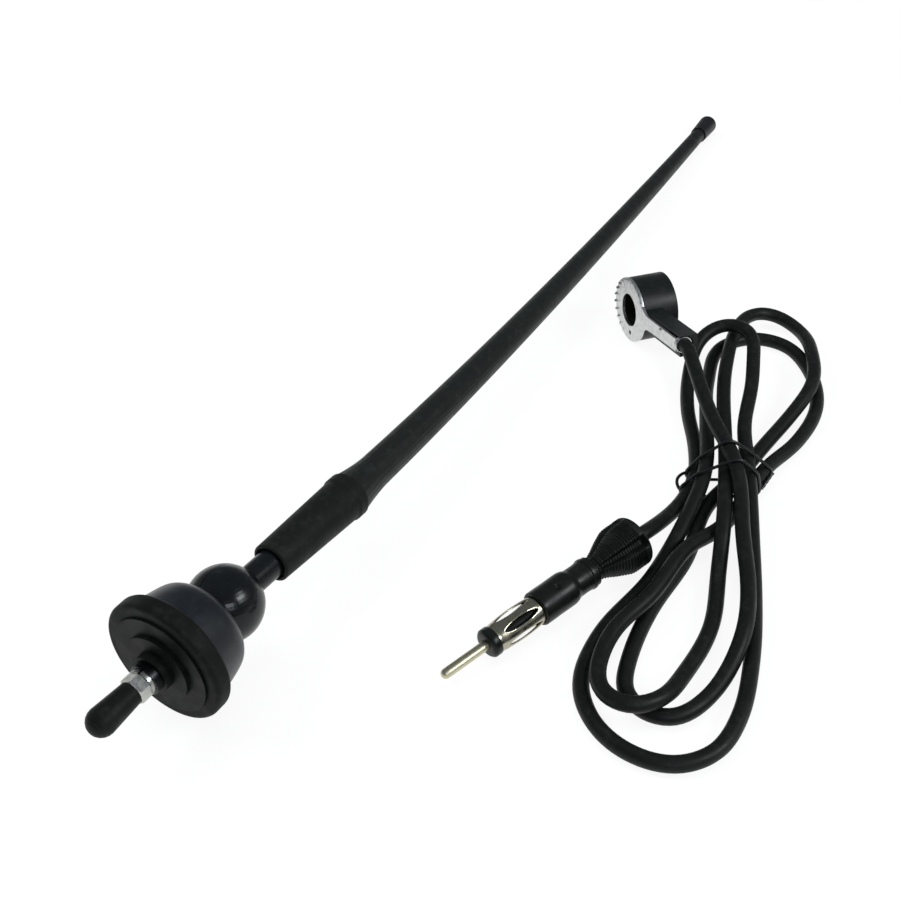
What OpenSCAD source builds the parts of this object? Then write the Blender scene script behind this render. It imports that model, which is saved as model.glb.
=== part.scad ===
// Panel mounted car antenna with a friction ball joint, a rubber whip and a tied aerial lead

/* [Ball joint] */
// Radius of the split ball
ball_r = 12.5; // [11:0.5:14]
// Gap between the ball and the bowl it turns in
bowl_gap = 0.3; // [0.2:0.05:0.5]
// Gap between the two halves of the ball
seam_gap = 0.3; // [0.2:0.05:0.6]
// Turn of the joint's pin from level, in degrees
seam_turn = 18; // [0:1:40]
// Radius of the pivot screw
pivot_r = 2; // [1.5:0.25:2.5]
// Radius of the pivot screw's head
pivot_head_r = 3.6; // [3:0.1:4.5]
// Height of the pivot screw's head
pivot_head_h = 2.4; // [1.5:0.1:3]
// Thickness of the spring washer under that head
spring_washer_t = 0.8; // [0.5:0.1:1.2]
// Depth of the screw's end beyond the ball's centre
pivot_reach = 7; // [5:0.5:9]
// Radius of the bar below the fixed half
stem_r = 6; // [5:0.25:7]

/* [Housing] */
// Distance of the bell's rim below the ball's centre
rim_drop = 7.3; // [6.5:0.1:8.5]
// Outer radius of the bell at its rim
rim_r = 12.3; // [12:0.1:14]
// Radius of the bell's rounded shoulder
rim_round = 1.2; // [0.6:0.1:1.4]
// Outer radius of the bell's foot
foot_r = 19; // [17.5:0.5:20]
// Distance of the bell's foot below the ball's centre
foot_drop = 22.5; // [20:0.5:26]
// How late the bell flares out
flare_power = 2.3; // [1.5:0.1:3]

/* [Base] */
// Outer radius of the rubber gasket
gasket_r = 21.5; // [20:0.5:24]
// Height of the gasket
gasket_h = 6.5; // [4:0.5:9]
// Radius of the gasket's outer edges
gasket_round = 1.6; // [0.8:0.1:2]
// Radius of the base plate inside the gasket
plate_r = 17.3; // [15:0.1:18]
// How far the base plate stands proud of the gasket
plate_proud = 0.8; // [0.3:0.1:1.5]
// Radius of the step on the hub's flange
flange_r = 11.5; // [9:0.5:13]
// Thickness of the hub's flange
flange_t = 1.4; // [1:0.1:2.5]
// Radius of the insulating hub that fills the panel hole
hub_r = 6.5; // [5:0.1:8]
// Length of the hub beyond its flange
hub_l = 2.8; // [1.5:0.1:5]
// Radius of the metal collar under the hub
collar_r = 5.3; // [4.5:0.1:6]
// Length of the collar
collar_l = 2.5; // [1.5:0.1:4]
// Radius of the lock washer
washer_r = 4.6; // [4:0.1:6]
// Thickness of the lock washer
washer_t = 1.3; // [0.8:0.1:1.6]
// Width of the nut across its flats
nut_af = 8; // [8:0.5:10]
// Height of the nut
nut_h = 4.1; // [3:0.1:5]
// Radius of the threaded stud
stud_r = 2.5; // [2:0.25:3]
// Depth of the stud in the bar above
stud_grip = 8; // [6:0.5:10]
// Radius of the rubber stud cap at its mouth
cap_mouth_r = 3.9; // [3.6:0.1:5]
// Radius of the stud cap at its round end
cap_end_r = 4.7; // [4:0.1:5.5]
// Length of the stud cap
cap_l = 16.8; // [12:0.2:22]
// Wall of the stud cap over the stud's end
cap_wall = 2.8; // [1.5:0.1:4]

/* [Mast foot] */
// Radius of the stub on the moving half
stub_r = 5; // [4.5:0.1:6]
// Distance from the ball's centre to the grip
grip_at = 22; // [20:0.5:26]
// Width of the slit along the stub
slit_w = 1; // [0.6:0.1:1.6]
// Depth of the slit
slit_d = 1.6; // [1:0.1:2.5]
// Depth of the recess where the stub enters the grip
recess_d = 2; // [1:0.1:3]
// Radius of that recess
recess_r = 5.9; // [5.6:0.1:6.2]
// Radius of the spigot that carries the grip
spigot_r = 3.9; // [3:0.1:4.5]
// Length of the spigot
spigot_l = 12; // [8:0.5:16]
// Radius of the threaded end on the spigot
thread_r = 2.5; // [2:0.25:2.8]
// Length of the threaded end
thread_l = 8; // [5:0.5:9]
// Length of the grip sleeve
grip_l = 42.5; // [38:0.5:50]
// Radius of the grip at its lower lip
grip_low_r = 6.9; // [6.5:0.1:7.5]
// Radius of the grip below its upper lip
grip_top_r = 7.95; // [7.5:0.05:8.3]
// Radius of the grip's upper lip
grip_lip_r = 8.4; // [8.3:0.1:9]
// Height of the grip's upper lip
grip_lip_h = 5; // [3:0.5:7]
// Radius of the metal ferrule inside the grip
ferrule_r = 5.5; // [5:0.1:6]
// Length of the ferrule
ferrule_l = 22; // [18:0.5:24]
// Radius of the mast's core in the ferrule
core_r = 3; // [2:0.1:3.5]
// Depth of the mast's core in the ferrule
core_l = 10; // [6:0.5:12]

/* [Mast] */
// Length from the ball's centre to the mast's tip
mast_reach = 421; // [380:1:460]
// Sideways bend of the mast at its tip
mast_bend = 26.6; // [0:0.2:40]
// How late the mast bends
bend_power = 1.4; // [1.2:0.1:2]
// Radius of the mast where it leaves the grip
mast_foot_r = 8; // [7:0.1:8.2]
// Radius of the mast above its flared foot
mast_low_r = 6.4; // [5.5:0.1:7]
// Radius of the mast under its tip cap
mast_top_r = 3.45; // [3:0.05:3.9]
// Length of the flared foot
mast_flare_l = 15; // [10:1:25]
// Length of the tip cap
tip_l = 17; // [12:0.5:22]
// Radius of the tip cap at its mouth
tip_mouth_r = 4.05; // [4:0.05:4.5]
// Radius of the tip cap at its round end
tip_r = 4.55; // [4.3:0.05:5.5]
// Radius of the rounding on the tip cap
tip_round = 2; // [1:0.1:3]
// Depth of the mast in the tip cap
tip_grip = 5; // [3:0.5:9]

/* [Connector] */
// Outer radius of the toothed ring
ring_r = 13.5; // [12.5:0.5:15]
// Gap between the hub and the ring's hole
ring_gap = 0.3; // [0.1:0.05:0.5]
// Thickness of the ring and its arm
ring_t = 1.2; // [0.8:0.1:1.6]
// Number of teeth on the ring
teeth = 24; // [12:1:36]
// Height of a tooth
tooth_h = 0.9; // [0.5:0.1:1.2]
// Radial length of a tooth
tooth_l = 1.8; // [1:0.1:2.5]
// Width of the metal arm
arm_w = 6.6; // [5:0.1:8]
// Length from the ring's centre to the crimp's mouth
arm_l = 46; // [40:0.5:52]
// Angle of the arm above level
arm_rise = 13.7; // [10:0.1:20]
// Length of the crimp
crimp_l = 4; // [3:0.5:6]
// Wall of the crimp
crimp_t = 0.9; // [0.6:0.1:1.2]
// Depth of the round housing behind the ring
case_h = 16; // [12:0.5:20]
// How far the round housing stays inside the ring's edge
case_inset = 0.2; // [0.1:0.1:1]
// Wall of the housing's open back
case_wall = 4.6; // [2:0.1:5]
// Width of the housing's arm
case_arm_w = 8.4; // [7:0.1:10]
// Depth of the housing's arm
case_arm_h = 8.6; // [7:0.1:11]
// Thickness of the contact disc
contact_t = 0.8; // [0.5:0.1:1.2]
// Height of the insulating bush over the contact
bush_h = 4.5; // [3:0.1:6]
// Wall of the insulating bush
bush_wall = 1.4; // [1:0.1:2]

/* [Plug] */
// Radius of the plug's pin
pin_r = 1.45; // [1.2:0.05:1.8]
// Length of bare pin in front of the collar
pin_l = 16.9; // [12:0.1:20]
// Radius of the plug's collar
nose_r = 5; // [4.8:0.1:5.5]
// Length of the collar
nose_l = 6.7; // [4:0.1:9]
// Bevel on the collar's front
nose_bevel = 1.6; // [0.8:0.1:2]
// Radius of the slotted shell at its ends
shell_r = 4.7; // [4.2:0.1:4.8]
// How far the shell bulges between its ends
shell_bulge = 0.45; // [0.2:0.05:0.8]
// Wall of the shell
shell_wall = 0.5; // [0.4:0.05:0.8]
// Length of shell in view
shell_l = 16.1; // [14:0.1:20]
// Length of shell inside the sleeve
shell_tail = 9; // [6:0.5:12]
// Number of slots in the shell
slots = 6; // [4:1:8]
// Length of a slot
slot_l = 12; // [8:0.5:13.5]
// Width of a slot at its middle
slot_w = 2.5; // [1.5:0.1:2.6]
// Radius of the insulator inside the shell
insulator_r = 3.1; // [2.5:0.1:3.6]
// Radius of the plug's sleeve
sleeve_r = 6; // [5.5:0.1:6.5]
// Length of the sleeve's thick part
sleeve_l = 15.3; // [12:0.1:20]
// Radius of the sleeve's thin part
sleeve_tail_r = 5.3; // [5:0.1:5.5]
// Length of the sleeve's thin part
sleeve_tail_l = 6.5; // [4:0.1:10]
// Radius of the dimple in the sleeve
dimple_r = 1.2; // [0.8:0.1:1.6]
// Depth of the dimple
dimple_d = 0.7; // [0.4:0.1:1]
// Radius of the ring behind the sleeve
rear_ring_r = 5.6; // [5.4:0.1:6]
// Length of that ring
rear_ring_l = 3; // [2:0.1:5]

/* [Grommet] */
// Radius of the grommet's neck
neck_r = 3.6; // [3.3:0.1:4.5]
// Radius of the grommet's rim
grommet_r = 9.5; // [8:0.1:11]
// Length of the grommet
grommet_l = 19; // [16:0.5:24]
// Length of the plain rim
grommet_rim_l = 2.6; // [1.5:0.1:4]
// Number of ribs along the cone
ribs = 13; // [8:1:16]
// Depth of the grooves between ribs
rib_d = 0.35; // [0.2:0.05:0.6]
// Number of channels along the cone
channels = 4; // [3:1:5]
// Radius of a channel
channel_r = 1.6; // [1:0.1:2.2]

/* [Lead] */
// Radius of the lead
cable_r = 2.7; // [2.7:0.05:2.75]
// Width of the tie's bands
tie_w = 2; // [1.5:0.1:3]
// Thickness of the tie's bands
tie_t = 1.1; // [0.8:0.1:1.2]
// Distance between the middles of the tie's two bands
tie_step = 10; // [8:0.5:12]

/* [Hidden] */
$fn = 48;

// Small clearance of pieces that are pushed or screwed together
fit = 0.05;
// Overshoot of cuts
cut = 1;

// Stack of the base, as distances below the ball's centre
gasket_end = foot_drop + gasket_h;
plate_end = gasket_end + plate_proud;
flange_end = plate_end + flange_t;
hub_end = flange_end + hub_l;
collar_end = hub_end + collar_l;
washer_end = collar_end + washer_t;
nut_end = washer_end + nut_h;
cap_end = nut_end + cap_l;
stem_end = foot_drop + 2;
stud_top = stem_end - stud_grip;
stud_end = cap_end - cap_wall;

// Stack of the mast, as distances above the ball's centre
spigot_at = grip_at + recess_d;
ferrule_at = spigot_at + spigot_l;
grip_end = grip_at + grip_l;
ferrule_end = ferrule_at + ferrule_l;
core_at = ferrule_end - core_l;
tip_at = mast_reach - tip_l;
bend_at = grip_end;
bend_l = mast_reach - bend_at;

// The lying antenna touches the floor with its gasket and its tip
pin_axis = [0, -cos(seam_turn), sin(seam_turn)];
lay_turn = -asin((gasket_r - tip_r) / (cos(seam_turn) * (mast_reach - tip_round)));
ball_x = (cap_end - mast_reach * cos(lay_turn)) / 2;
side_low = gasket_r;
side_high = mast_bend + sin(seam_turn) * sin(lay_turn) * mast_reach + tip_r;
ball_y = (side_low - side_high) / 2;

// Place of the connector and of the plug on the floor
connector_at = [44, -30, ring_r];
connector_turn = -130;
plug_at = [-157, -66];
plug_turn = -17.6;
nose_at = pin_l + nose_bevel;
shell_at = pin_l + nose_l;
sleeve_at = shell_at + shell_l;
tail_at = sleeve_at + sleeve_l;
rear_ring_at = tail_at + sleeve_tail_l;
grommet_at = rear_ring_at + rear_ring_l;
rim_bevel = 0.6;
plug_end = grommet_at + grommet_l;
pin_tail = sleeve_at + shell_tail - 1;
pin_core_r = pin_r - 0.3;
pin_bulb = 0.1;
rim_at = plug_end - grommet_rim_l + rim_bevel;
plug_rise = atan((grommet_r - nose_r) / (rim_at - nose_at));
plug_z = nose_r * cos(plug_rise) - nose_at * sin(plug_rise);

// Bores and depths inside the connector
ring_hole_r = hub_r + ring_gap;
case_r = ring_r - case_inset;
case_bore_r = case_r - case_wall;
crimp_r = cable_r + 3 * fit;
cable_drop = crimp_r + 0.2;

// Directions of the connector's arm, of its face and of the plug
arm_way = [cos(arm_rise) * cos(connector_turn), cos(arm_rise) * sin(connector_turn), sin(arm_rise)];
face_way = [sin(connector_turn), -cos(connector_turn), 0];
plug_way = [cos(plug_rise) * cos(plug_turn), cos(plug_rise) * sin(plug_turn), sin(plug_rise)];

// Ends of the lead in the crimp and on the grommet
crimp_mouth = connector_at + arm_l * arm_way - cable_drop * face_way;
rim_middle = [plug_at[0], plug_at[1], plug_z] + plug_end * plug_way;
floor_lift = [0, 0, cable_r];
lead_start = [crimp_mouth - crimp_l * arm_way - floor_lift, crimp_mouth + arm_way - floor_lift];
lead_finish = [rim_middle + 6 * plug_way - floor_lift, rim_middle - floor_lift];

// Route of the lead, each point with its x, its y and its lift above the floor
ROUTE = concat(lead_start, [
    // The lead runs down from the crimp to the tie
    [8, -75, 19], [-11, -91, 15], [-24, -105, 12.5],
    // The lead runs round the inner loop and back to the tie
    [-57, -123, 7.5], [-76, -133, 5.5], [-94, -139, 5], [-109, -140, 0.5], [-124, -138, 0], [-133, -134, 0],
    [-136, -125, 0], [-132, -116, 0], [-121, -112, 0], [-97, -108, 0], [-68, -108, 0], [-38, -103, 0.5],
    [-23, -106, 1.5],
    // The lead runs round the outer loop above the tie
    [4, -108, 1.5], [25, -110, 2.5], [42, -111, 5.5], [61, -104, 5.5], [82, -90, 1.5], [86, -80, 2],
    [83, -73, 3], [75, -70, 4], [61, -71, 5.5], [34, -78, 6.5], [-25, -103, 7],
    // The lead runs round the middle loop below the tie
    [-50, -113, 8], [-69, -120, 1], [-93, -128, 0], [-119, -129, 1.5], [-131, -129, 5], [-139, -125, 6],
    [-142, -117, 6], [-139, -110, 6], [-130, -106, 6], [-112, -104, 6], [-99, -107, 6], [-69, -108, 6.5],
    [-49, -112, 1], [-19, -113, 1.5],
    // The lead runs round the second loop above the tie
    [-13, -113, 1.5], [11, -117, 0], [36, -116, 0], [59, -104, 0], [70, -90, 0], [68, -77, 0],
    [55, -68, 0], [30, -73, 0.5], [-3, -86, 6], [-29, -97, 6.5],
    // The lead runs round the outer loop below the tie
    [-56, -101, 3], [-84, -102, 0], [-116, -99, 0], [-138, -104, 0], [-149, -116, 0], [-152, -129, 0],
    [-149, -141, 0], [-139, -149, 0], [-122, -150, 0], [-101, -145, 0], [-74, -135, 0], [-52, -125, 2],
    [-21, -110, 7.5],
    // The lead runs round the small loop above the tie
    [-1, -100, 7.5], [29, -91, 8], [44, -85, 10], [53, -81, 12], [56, -73, 12.5], [53, -66, 11],
    [44, -62, 8], [29, -65, 2], [8, -74, 0], [-12, -86, 1], [-31, -94, 1.5],
    // The lead runs from the tie to the grommet
    [-41, -95, 1], [-58, -94, 3]
], lead_finish);

// Points of the route that lie under the tie, and the heading of the bundle there
TIED = [4, 17, 28, 42, 52, 65, 76];
bundle_turn = 32;
tie_gap = 1.8;
knot_gap = 0.8;
tie_reach = 50;

// Turned pieces run along X
module turned(outline, sides = $fn) {
    rotate([0, 90, 0]) rotate_extrude($fn = sides) polygon(outline);
}

module rod(r, from, to) {
    translate([from, 0, 0]) rotate([0, 90, 0]) cylinder(r = r, h = to - from);
}

module on_base() {
    translate([ball_x, ball_y, gasket_r]) children();
}

module on_mast() {
    translate([ball_x, ball_y, gasket_r]) rotate(a = lay_turn, v = pin_axis) children();
}

// Turns Z onto the joint's pin
module along_pin() {
    rotate([90 - seam_turn, 0, 0]) children();
}

module half_space(side) {
    along_pin() translate([0, 0, side * (50 + seam_gap / 2)]) cube([200, 200, 100], center = true);
}

// Bell with a bowl for the ball, flaring out to the gasket
module bell_housing() {
    bowl = ball_r + bowl_gap;
    lip = sqrt(bowl * bowl - rim_drop * rim_drop);
    steps = 12;
    neck = rim_drop + rim_round;
    flare = [for (i = [0 : steps]) let (t = i / steps)
        [rim_r + (foot_r - rim_r) * pow(t, flare_power), -neck - (foot_drop - neck) * t]];
    shoulder = [for (a = [90 : -15 : 15])
        [rim_r - rim_round + rim_round * cos(a), -neck + rim_round * sin(a)]];
    color("#1b1d20") on_base() difference() {
        turned(concat([[0, -foot_drop], [0, -rim_drop], [lip, -rim_drop]], shoulder, flare), 72);
        sphere(r = bowl, $fn = 72);
        rod(stem_r + fit, -foot_drop - cut, 0);
    }
}

module base_gasket() {
    outer = [for (a = [90 : -15 : 0])
        [gasket_r - gasket_round + gasket_round * cos(a), -foot_drop - gasket_round * (1 - sin(a))]];
    inner = [for (a = [0 : -15 : -90])
        [gasket_r - gasket_round + gasket_round * cos(a), -gasket_end + gasket_round * (1 + sin(a))]];
    bore = plate_r + fit;
    color("#26282a") on_base() turned(concat([[bore, -gasket_end], [bore, -foot_drop]], outer, inner), 96);
}

module base_plate() {
    color("#2c2e30") on_base() difference() {
        rod(plate_r, -plate_end, -foot_drop);
        rod(stem_r + fit, -stem_end, -foot_drop + cut);
        rod(stud_r + fit, -plate_end - cut, -foot_drop);
    }
}

module insulator_hub() {
    color("#141517") on_base() difference() {
        union() {
            rod(flange_r, -flange_end, -plate_end);
            rod(hub_r, -hub_end, -flange_end);
        }
        rod(stud_r + fit, -hub_end - cut, -plate_end + cut);
    }
}

module hub_collar() {
    color("#3a3c3e") on_base() difference() {
        rod(collar_r, -collar_end, -hub_end);
        rod(stud_r + fit, -collar_end - cut, -hub_end + cut);
    }
}

module lock_washer() {
    color("#b9b7a2") on_base() difference() {
        rod(washer_r, -washer_end, -collar_end);
        rod(stud_r + fit, -washer_end - cut, -collar_end + cut);
        translate([-(washer_end + collar_end) / 2, 0, washer_r / 2])
            cube([2 * washer_t, 0.8, washer_r + cut], center = true);
    }
}

module mounting_nut() {
    chamfer = nut_af / 2 / cos(30);
    color("#b9b7a2") on_base() difference() {
        intersection() {
            rotate([0, 90, 0]) translate([0, 0, -nut_end]) cylinder(r = chamfer, h = nut_h, $fn = 6);
            turned([[0, -nut_end], [0, -washer_end], [chamfer - 0.5, -washer_end],
                [chamfer, -washer_end - 0.4], [chamfer, -nut_end + 0.4], [chamfer - 0.5, -nut_end]]);
        }
        rod(stud_r + fit, -nut_end - cut, -washer_end + cut);
    }
}

module mounting_stud() {
    color("#9a9c98") on_base() rod(stud_r, -stud_end, -stud_top);
}

module stud_cap() {
    bulb = cap_end - cap_end_r;
    dome = [for (a = [0 : 15 : 90]) [cap_end_r * cos(a), -bulb - cap_end_r * sin(a)]];
    color("#232527") on_base() difference() {
        turned(concat([[0, -nut_end], [cap_mouth_r, -nut_end]], dome));
        rod(stud_r + fit, -stud_end, -nut_end + cut);
    }
}

// Fixed half of the ball on its bar
module base_ball_half() {
    head_at = pivot_seat();
    color("#17181a") on_base() difference() {
        union() {
            intersection() {
                sphere(r = ball_r, $fn = 72);
                half_space(-1);
            }
            difference() {
                rod(stem_r, -stem_end, 0);
                sphere(r = ball_r + bowl_gap, $fn = 72);
            }
            intersection() {
                rod(stem_r, -stem_end, 0);
                half_space(-1);
            }
        }
        along_pin() translate([0, 0, -ball_r - cut])
            cylinder(r = pivot_head_r + fit, h = ball_r + cut - head_at);
        along_pin() translate([0, 0, -ball_r]) cylinder(r = pivot_r + fit, h = ball_r + cut);
        rod(stud_r + fit, -stem_end - cut, -stud_top + fit);
    }
}

// Depth of the screw head's seat, measured from the ball's centre
function pivot_seat() = ball_r - pivot_head_h - spring_washer_t - 1.3;

// Moving half of the ball with its slit stub, the grip's spigot and a threaded end
module mast_ball_half() {
    color("#17181a") on_mast() difference() {
        union() {
            intersection() {
                sphere(r = ball_r, $fn = 72);
                half_space(1);
            }
            difference() {
                rod(stub_r, 0, spigot_at);
                sphere(r = ball_r + bowl_gap, $fn = 72);
            }
            intersection() {
                rod(stub_r, 0, spigot_at);
                half_space(1);
            }
            rod(spigot_r, spigot_at, ferrule_at);
            rod(thread_r, ferrule_at, ferrule_at + thread_l);
        }
        along_pin() translate([0, 0, -cut]) cylinder(r = pivot_r + fit, h = pivot_reach + cut + fit);
        rotate([-55, 0, 0]) translate([ball_r + 1, -slit_w / 2, stub_r - slit_d])
            cube([spigot_at, slit_w, slit_d + cut]);
    }
}

module pivot_screw() {
    seat = pivot_seat() + spring_washer_t;
    color("#8d8f8c") on_base() along_pin() difference() {
        union() {
            translate([0, 0, -seat - pivot_head_h]) cylinder(r = pivot_head_r, h = pivot_head_h);
            translate([0, 0, -seat]) cylinder(r = pivot_r, h = seat + pivot_reach);
        }
        translate([0, 0, -seat - pivot_head_h]) cube([2 * pivot_head_r + cut, 1, 2.2], center = true);
    }
}

module pivot_spring_washer() {
    color("#8d8f8c") on_base() along_pin() translate([0, 0, -pivot_seat() - spring_washer_t]) difference() {
        cylinder(r = pivot_head_r - 0.2, h = spring_washer_t);
        translate([0, 0, -cut]) cylinder(r = pivot_r + fit, h = spring_washer_t + 2 * cut);
        translate([pivot_r, -0.3, -cut]) cube([pivot_head_r, 0.6, spring_washer_t + 2 * cut]);
    }
}

module grip_sleeve() {
    lip_at = grip_end - grip_lip_h;
    color("#1f2123") on_mast() difference() {
        turned([[0, grip_at], [grip_low_r - 0.5, grip_at], [grip_low_r, grip_at + 0.5],
            [grip_top_r, lip_at], [grip_lip_r, lip_at + 1.2], [grip_lip_r, grip_end - 0.4],
            [grip_lip_r - 0.4, grip_end], [0, grip_end]], 72);
        rod(recess_r, grip_at - cut, spigot_at);
        rod(spigot_r + fit, grip_at, ferrule_at + cut);
        rod(ferrule_r + fit, ferrule_at, grip_end + cut);
    }
}

module mast_ferrule() {
    color("#b0a060") on_mast() difference() {
        rod(ferrule_r, ferrule_at, ferrule_end);
        rod(thread_r + fit, ferrule_at - cut, ferrule_at + thread_l + fit);
        rod(core_r + fit, core_at - fit, ferrule_end + cut);
    }
}

// Bent centreline of the mast
function bend_part(s) = max(s - bend_at, 0) / bend_l;
function mast_side(s) = mast_bend * pow(bend_part(s), bend_power);
function mast_angle(s) =
    atan(mast_bend * bend_power / bend_l * pow(bend_part(s), bend_power - 1));

// Radius of the mast along its length
function flare_part(s) = 1 - (s - grip_end) / mast_flare_l;
function mast_taper(s) =
    mast_low_r + (mast_top_r - mast_low_r) * (s - grip_end) / (tip_at - grip_end);
function mast_r(s) =
    s > grip_end + mast_flare_l ? mast_taper(s)
    : mast_taper(s) + (mast_foot_r - mast_low_r) * pow(flare_part(s), 1.6);

function loop_of(s, r, sides) = let (a = mast_angle(s)) [for (k = [0 : sides - 1])
    let (b = 360 * k / sides, u = r * cos(b))
    [s - u * sin(a), mast_side(s) + u * cos(a), r * sin(b)]];

// Closes a stack of equal loops of points into a solid
module swept(loops) {
    rows = len(loops);
    sides = len(loops[0]);
    skin = [for (i = [0 : rows - 2], k = [0 : sides - 1]) let (n = (k + 1) % sides)
        each [[i * sides + k, (i + 1) * sides + k, i * sides + n],
            [i * sides + n, (i + 1) * sides + k, (i + 1) * sides + n]]];
    first = [for (k = [0 : sides - 1]) k];
    last = [for (k = [sides - 1 : -1 : 0]) (rows - 1) * sides + k];
    polyhedron(points = [for (row = loops, p = row) p], faces = concat(skin, [first, last]),
        convexity = 10);
}

module mast() {
    sides = 24;
    flare_rows = 8;
    whip_rows = 24;
    flare_end = grip_end + mast_flare_l;
    flare = [for (i = [0 : flare_rows]) grip_end + mast_flare_l * i / flare_rows];
    whip = [for (i = [1 : whip_rows]) flare_end + (tip_at + tip_grip - flare_end) * i / whip_rows];
    foot = [[core_at, core_r], [ferrule_end + fit, core_r], [ferrule_end + fit, ferrule_r],
        [grip_end + fit, ferrule_r]];
    body = [for (s = concat(flare, whip)) [max(s, grip_end + fit), mast_r(s)]];
    color("#1d1f21") on_mast() swept([for (q = concat(foot, body)) loop_of(q[0], q[1], sides)]);
}

module tip_cap() {
    crown = [for (a = [90 : -15 : 0])
        [tip_r - tip_round + tip_round * cos(a), tip_l - tip_round + tip_round * sin(a)]];
    color("#191b1d") on_mast() translate([tip_at, mast_side(tip_at), 0]) rotate([0, 0, mast_angle(tip_at)])
        difference() {
            turned(concat([[0, 0], [0, tip_l]], crown, [[tip_mouth_r, 0]]));
            rod(mast_top_r + fit, -cut, tip_grip + fit);
        }
}

// Ring on edge with its arm rising towards the crimp, the ring's face along Z
module on_connector() {
    translate(connector_at) rotate([0, 0, connector_turn]) rotate([0, -arm_rise, 0]) rotate([90, 0, 0])
        children();
}

module ground_plate() {
    crimp_from = arm_l - crimp_l;
    tooth_foot = 0.8;
    tooth_top = 0.25;
    bite = 0.1;
    tooth = [[-tooth_foot, 0], [tooth_foot, 0], [tooth_top, tooth_h + bite], [-tooth_top, tooth_h + bite]];
    color("#c9ccc9") on_connector() {
        difference() {
            union() {
                translate([0, 0, -ring_t]) cylinder(r = ring_r, h = ring_t, $fn = 72);
                translate([0, -arm_w / 2, -ring_t]) cube([crimp_from + 1, arm_w, ring_t]);
                for (side = [-1, 1])
                    translate([ring_r - 2, side * arm_w / 2, -ring_t]) linear_extrude(ring_t)
                        polygon([[0, 0], [7, 0], [0, side * 2.5]]);
                translate([crimp_from - 8, -arm_w / 2 - 0.5, -ring_t]) cube([5, arm_w + 1, ring_t]);
                for (k = [0 : teeth - 1]) rotate([0, 0, 360 * k / teeth])
                    translate([ring_r - tooth_l - 0.3, 0, -bite]) rotate([90, 0, 90])
                        linear_extrude(tooth_l) polygon(tooth);
                translate([crimp_from, 0, -cable_drop]) rotate([0, 90, 0])
                    cylinder(r = crimp_r + crimp_t, h = crimp_l);
            }
            translate([0, 0, -ring_t - cut]) cylinder(r = ring_hole_r, h = ring_t + tooth_h + 2 * cut);
            translate([-2.4, -10, -ring_t - cut]) cylinder(r = 0.8, h = ring_t + 2 * cut);
            translate([crimp_from - cut, 0, -cable_drop]) rotate([0, 90, 0])
                cylinder(r = crimp_r, h = crimp_l + 2 * cut);
        }
    }
}

// Moulded case, open at the back for the nut, with an arm behind the metal one
module clamp_housing() {
    color("#1c1e1f") on_connector() difference() {
        union() {
            translate([0, 0, -case_h]) cylinder(r = case_r, h = case_h - ring_t, $fn = 72);
            translate([0, -case_arm_w / 2 - 0.4, -case_arm_h])
                cube([arm_l - 1, case_arm_w, case_arm_h - ring_t]);
        }
        translate([0, 0, -case_h - cut]) cylinder(r = case_bore_r, h = case_h + cut - ring_t - bush_h);
        translate([0, 0, -case_h]) cylinder(r = ring_hole_r + bush_wall + fit, h = case_h + cut);
        translate([arm_l - crimp_l - 6, 0, -cable_drop]) rotate([0, 90, 0])
            cylinder(r = crimp_r + crimp_t + fit, h = crimp_l + 6 + cut);
    }
}

module contact_bush() {
    color("#30302c") on_connector() difference() {
        translate([0, 0, -ring_t - bush_h]) cylinder(r = ring_hole_r + bush_wall, h = bush_h);
        translate([0, 0, -ring_t - bush_h - cut]) cylinder(r = ring_hole_r, h = bush_h + 2 * cut);
    }
}

module centre_contact() {
    color("#b59a55") on_connector() translate([0, 0, -ring_t - bush_h - contact_t]) difference() {
        cylinder(r = case_bore_r - fit, h = contact_t);
        translate([0, 0, -cut]) cylinder(r = stud_r + ring_gap, h = contact_t + 2 * cut);
    }
}

// Smooth curve through the route's points, from the slope at each of them
function span(i) = norm(ROUTE[i + 1] - ROUTE[i]);
function slope(i) =
    i == 0 ? (ROUTE[1] - ROUTE[0]) / span(0)
    : i == len(ROUTE) - 1 ? (ROUTE[i] - ROUTE[i - 1]) / span(i - 1)
    : ((ROUTE[i] - ROUTE[i - 1]) * span(i) / span(i - 1) + (ROUTE[i + 1] - ROUTE[i]) * span(i - 1) / span(i))
        / (span(i - 1) + span(i));
function between(i, t) =
    (2 * t * t * t - 3 * t * t + 1) * ROUTE[i] + (t * t * t - 2 * t * t + t) * span(i) * slope(i)
    + (3 * t * t - 2 * t * t * t) * ROUTE[i + 1] + (t * t * t - t * t) * span(i) * slope(i + 1);

// Rings round the lead, each square to the curve and level across
ring_step = 32;
function lead_point(p) = [p[0], p[1], max(p[2], 0) + cable_r];
function lead_line() = concat([for (i = [0 : len(ROUTE) - 2], n = ceil(span(i) / ring_step))
    each [for (j = [0 : n - 1]) lead_point(between(i, j / n))]], [lead_point(ROUTE[len(ROUTE) - 1])]);

module cable() {
    color("#2a2c2e") swept([for (i = [0 : len(line) - 1])
        let (a = line[max(i - 1, 0)], b = line[min(i + 1, len(line) - 1)], d = (b - a) / norm(b - a),
            across = cross(d, [0, 0, 1]) / norm(cross(d, [0, 0, 1])), up = cross(across, d))
        [for (k = [0 : 7]) line[i] + cable_r * (cos(45 * k) * across + sin(45 * k) * up)]]);
}

module on_plug() {
    translate([plug_at[0], plug_at[1], plug_z]) rotate([0, 0, plug_turn]) rotate([0, -plug_rise, 0])
        children();
}

module plug_pin() {
    color("#c9cac2") on_plug() turned([[0, 0], [0.8, 0.2], [pin_r, 1], [pin_r + pin_bulb, 1.8], [pin_r, 2.6],
        [pin_r, pin_l], [pin_core_r, pin_l], [pin_core_r, pin_tail], [0, pin_tail]]);
}

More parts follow.
